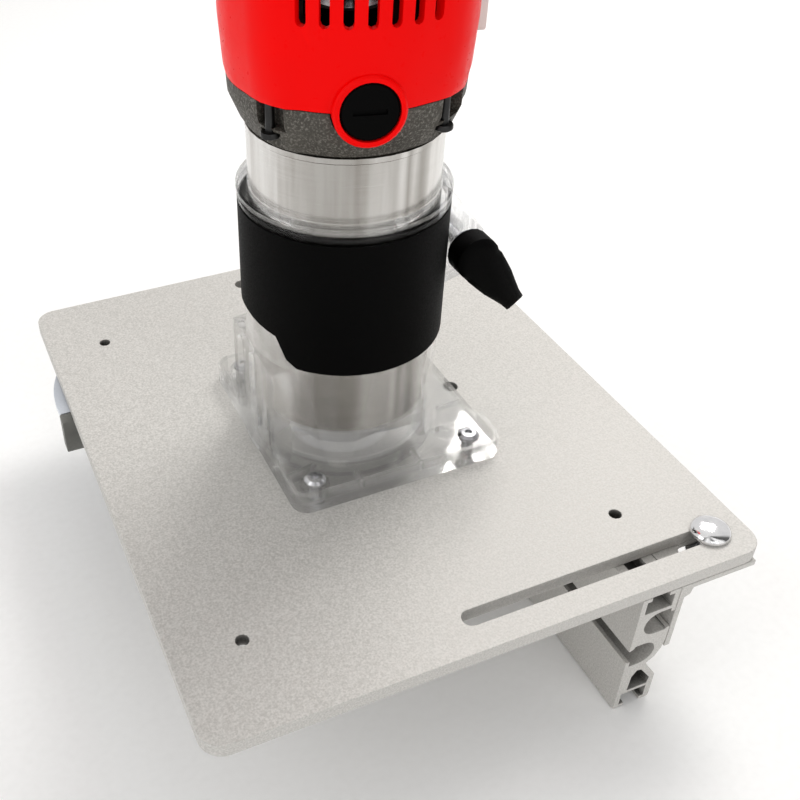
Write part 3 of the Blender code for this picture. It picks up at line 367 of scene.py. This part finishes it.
def refine(obj, bevel=0.0):
    """Smooth shading for a faceted mesh, and a small round on its sharp edges."""
    obj.modifiers.new("smooth", "NODES").node_group = SMOOTH
    if bevel:
        edge = obj.modifiers.new("edge", "BEVEL")
        edge.width = bevel
        edge.segments = 2
        edge.limit_method = "ANGLE"
        edge.angle_limit = BEVEL_ANGLE
        edge.harden_normals = True
        edge.use_clamp_overlap = True


# A near-black steel for the housing screws, used in place of the steel of their slot.
near_black_steel = satin_metal("near_black_steel", (0.05, 0.05, 0.05), (0.03, 0.03, 0.03), 0.4)

for name, node in nodes.items():
    node.data.materials.clear()
    dark = name.startswith("housing_screw")
    node.data.materials.append(near_black_steel if dark else materials[slot_of[name]])
    refine(node, BEVELS.get(name, 0.0))


# ---------------------------------------------------------------- stage, lights and camera

def area_light(name, place, target, size, power, colour=(1, 1, 1), height=None):
    data = bpy.data.lights.new(name, "AREA")
    data.energy = power
    data.color = colour
    data.size = size
    if height:
        data.shape = "RECTANGLE"
        data.size_y = height
    lamp = bpy.data.objects.new(name, data)
    lamp.location = place
    aim = Vector(target) - Vector(place)
    lamp.rotation_euler = aim.to_track_quat("-Z", "Y").to_euler()
    bpy.context.scene.collection.objects.link(lamp)
    return lamp


def build_stage():
    """A white floor under the object, a world of light and dark walls and large soft lights."""
    bm = bmesh.new()
    bmesh.ops.create_grid(bm, x_segments=8, y_segments=8, size=FLOOR_HALF_WIDTH)
    mesh = bpy.data.meshes.new("floor")
    bm.to_mesh(mesh)
    bm.free()
    floor = bpy.data.objects.new("floor", mesh)
    floor.location.z = -FLOOR_DROP
    bpy.context.scene.collection.objects.link(floor)
    paper = Surface("floor_paper", 0.9)
    fibre = paper.noise(300, 3.0)
    paper.colour(paper.mix(paper.ramp(fibre, 0.3, 0.7), (0.93, 0.93, 0.93), (0.96, 0.96, 0.96)))
    mesh.materials.append(paper.material)

    world = bpy.data.worlds.new("studio")
    world.use_nodes = True
    tree = world.node_tree
    coords = tree.nodes.new("ShaderNodeTexCoord")
    around = tree.nodes.new("ShaderNodeTexGradient")
    around.gradient_type = "RADIAL"
    bands = tree.nodes.new("ShaderNodeValToRGB")
    tree.links.new(coords.outputs["Generated"], around.inputs["Vector"])
    tree.links.new(around.outputs["Fac"], bands.inputs["Fac"])
    tree.links.new(bands.outputs["Color"], tree.nodes["Background"].inputs["Color"])
    fill_ramp(bands.color_ramp, WALL_BANDS, WALL_TINT)
    tree.nodes["Background"].inputs["Strength"].default_value = WALL_STRENGTH
    bpy.context.scene.world = world
    bpy.context.scene.view_settings.view_transform = "Standard"

    area_light("key_light", (0.55, 0.45, 0.95), LIGHT_TARGET, 0.45, 6.0, (1.0, 0.985, 0.96))
    area_light("left_light", (-0.9, -0.15, 0.7), LIGHT_TARGET, 0.5, 1.6, height=0.9)
    area_light("front_light", (-0.1, -1.0, 0.55), LIGHT_TARGET, 0.6, 1.4)


def build_camera():
    """A camera at the photograph's angle, from the fit of the plate's edges."""
    corner = Vector((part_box("table_plate")[0][0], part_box("table_plate")[0][1],
                     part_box("table_plate")[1][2]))
    place = corner + CAMERA_FROM_CORNER
    data = bpy.data.cameras.new("camera")
    data.lens = CAMERA_LENS
    data.sensor_width = 36.0
    data.shift_x, data.shift_y = CAMERA_SHIFT
    camera = bpy.data.objects.new("camera", data)
    turn = Matrix((CAMERA_RIGHT, CAMERA_UP, -CAMERA_AHEAD)).transposed().to_4x4()
    camera.matrix_world = Matrix.Translation(place) @ turn
    bpy.context.scene.collection.objects.link(camera)
    bpy.context.scene.camera = camera


build_stage()
build_camera()
